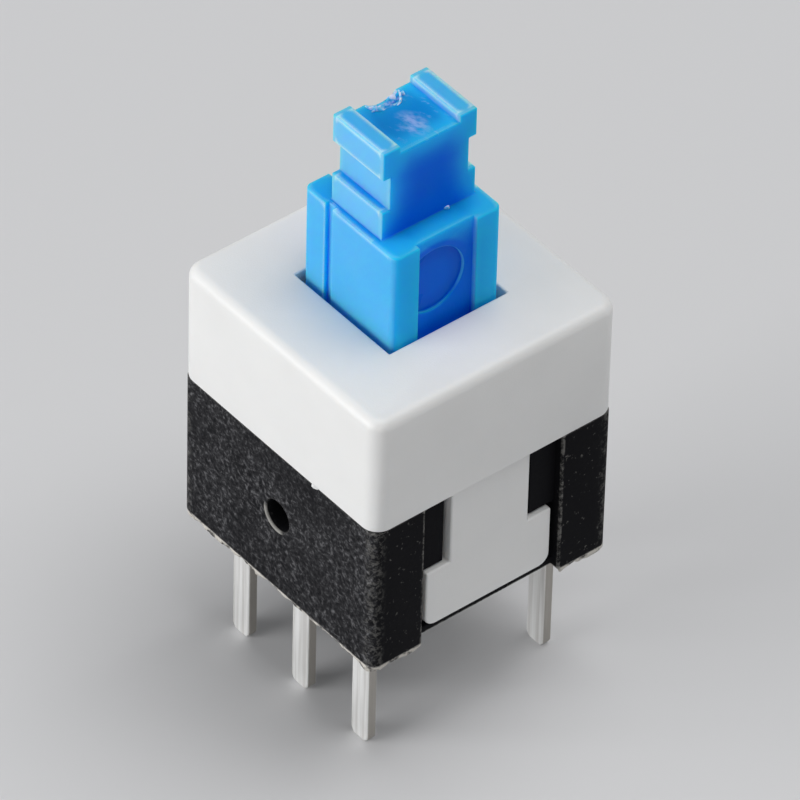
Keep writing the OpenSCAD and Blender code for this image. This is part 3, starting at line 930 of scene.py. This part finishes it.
def base_outline():
    """Half of the base's lower edge: along an end wall, round a corner, along a long wall, round again."""
    quarter = np.linspace(0, -np.pi / 2, BEND_POINTS)
    middle, radius = BASE_HALF - BASE_ROUND, BASE_ROUND - FIN_INSET
    bend = np.stack([middle + radius * np.cos(quarter), radius * np.sin(quarter) - middle], -1)
    first = np.concatenate([[[BASE_HALF - FIN_INSET, -CHANNEL_HALF]], bend])
    return np.concatenate([first, first[::-1] * [-1, 1]])


def flash_skin():
    """Resin squeezed thin: straw where light comes through, dark where it is thick."""
    finish = Finish("flash_skin", {"Roughness": 0.6, "Specular IOR Level": 0.2})
    place, _ = finish.place()
    patch = finish.noise(place, 4, detail=3)
    straw = finish.blend(patch.step(0.36, 0.54), *FLASH_TONES)
    finish.set("Base Color", straw)
    return finish.material


flash_resin = flash_skin()
for side, turn in (("left", 1), ("right", -1)):
    edge = turn * evenly(base_outline())
    waves = wander(len(edge), stride=0.45, low=-0.06, high=0.08)
    teeth = wander(len(edge), stride=0.09, low=-0.03, high=0.04)
    drop = (FLASH_DROP + waves + teeth).clip(*FLASH_LIMITS)
    lean = wander(len(edge), stride=0.3, low=-0.02, high=0.04)
    fin = ragged_fin(f"base_flash_{side}", edge, base_low.z, -1, FLASH_THICKNESS, drop, lean)
    attach(fin, "base", flash_resin)
    print(fin.name, "faces:", len(fin.data.polygons))

# %% [markdown]
# ## Torn gate
#
# Plastic enters the plunger's mould through a gate at one end of the saddle. When
# it is pulled off it leaves a scoop with a torn white fringe and a few lumps. The
# fringe is the same wedge as the flash, carried round the scoop and taller towards
# its two ends. A lump is a ball by longitude and latitude with dents.

# %% Fringe and lumps
FRINGE_THICKNESS = 0.09
FRINGE_SWING = 1.45
FRINGE_POINTS = 40
FRINGE_HEIGHT = 0.02
FRINGE_LIMITS = (-0.05, 0.13)
FRINGE_MIDDLE_SHARE = 0.7
FRINGE_GROWTH = 1.2
FRINGE_DIP = 0.07
CRUMB_COLUMNS = 24
CRUMB_ROWS = 13
CRUMB_DENT = 0.2
CRUMB_SWELLS = 3
CRUMB_TURN = 1
TORN_BLUES = (0.05, 0.52, 0.90, 1), (0.66, 0.75, 0.95, 1)
GATE_LUMPS = {
    "near": ((-0.66, -0.32, 0.0), (0.07, 0.20, 0.08)),
    "middle": ((-0.78, 0.20, -0.02), (0.09, 0.13, 0.13)),
    "far": ((-0.76, 0.52, 0.0), (0.07, 0.07, 0.07)),
}


def torn_skin():
    """Plunger plastic that was pulled apart: whitened, with blue left between."""
    finish = Finish("torn_skin", {"Roughness": 0.5, "Subsurface Weight": 0.5, "Subsurface Scale": 0.2 * MM})
    place, _ = finish.place()
    white = finish.noise(place, 8, detail=3).step(0.35, 0.6)
    finish.set("Base Color", finish.blend(white, *TORN_BLUES))
    return finish.material


def crumb(name, middle, size):
    """Ball by longitude and latitude, stretched to a size; its reach swells and sinks three times round."""
    around = np.linspace(0, -2 * np.pi, CRUMB_COLUMNS, endpoint=False)[:, None]
    upward = np.linspace(-np.pi / 2, np.pi / 2, CRUMB_ROWS)[None, :]
    flat = np.cos(upward)
    reach = 1 + CRUMB_DENT * np.sin(CRUMB_SWELLS * around + CRUMB_TURN) * flat**2
    ball = np.stack(np.broadcast_arrays(flat * np.cos(around), flat * np.sin(around), np.sin(upward)), -1)
    points = np.array(middle) + np.array(size) * ball * reach[..., None]
    return surface(name, MM * points, close_rows=True)


torn_plastic = torn_skin()
swing = np.linspace(-FRINGE_SWING, FRINGE_SWING, FRINGE_POINTS)
rim_radius = SCOOP_RADIUS + FRINGE_THICKNESS / 2
rim_line = evenly(rim_radius * np.stack([np.cos(swing), np.sin(swing)], -1) - [HEAD_END, 0])
frill = FRINGE_HEIGHT + wander(len(rim_line), stride=0.16, low=-0.09, high=0.12)
frill = frill.clip(*FRINGE_LIMITS)
toward_end = np.abs(np.linspace(-1, 1, len(rim_line)))
frill = frill * (FRINGE_MIDDLE_SHARE + FRINGE_GROWTH * toward_end) - FRINGE_DIP * (1 - toward_end)
lean = wander(len(rim_line), stride=0.1, low=-0.02, high=0.05)
fringe = ragged_fin("gate_fringe", rim_line, SADDLE_Z, 1, FRINGE_THICKNESS, frill, lean)
attach(fringe, "plunger", torn_plastic)
for spot, (place, size) in GATE_LUMPS.items():
    lump = crumb(f"gate_lump_{spot}", np.array(place) + [0, 0, SADDLE_Z], size)
    attach(lump, "plunger", torn_plastic)
print("fringe faces:", len(fringe.data.polygons))

# %% [markdown]
# ## A crumb and a burr
#
# A bit of plastic stays where a part was trimmed: a crumb clings to the foot of the
# plunger's head, and a burr to the lower rim of the cover. Both are the same dented
# ball as the lumps, and part of each is inside its solid, so that it looks grown on.

# %% Crumb and burr
STEM_CRUMB = ((1.05, 0.58, 15.37), (0.05, 0.08, 0.05))
RIM_BURR = ((1.53, -3.96, 8.69), (0.12, 0.06, 0.08))

attach(crumb("stem_crumb", *STEM_CRUMB), "plunger", torn_plastic)
attach(crumb("rim_burr", *RIM_BURR), "top_cover", white_plastic)
print("crumb and burr at", STEM_CRUMB[0], "and", RIM_BURR[0], "mm")

# %% [markdown]
# ## Sizes
#
# The dressed switch has to stay as big as its solids, because those are the sizes
# that others build on.
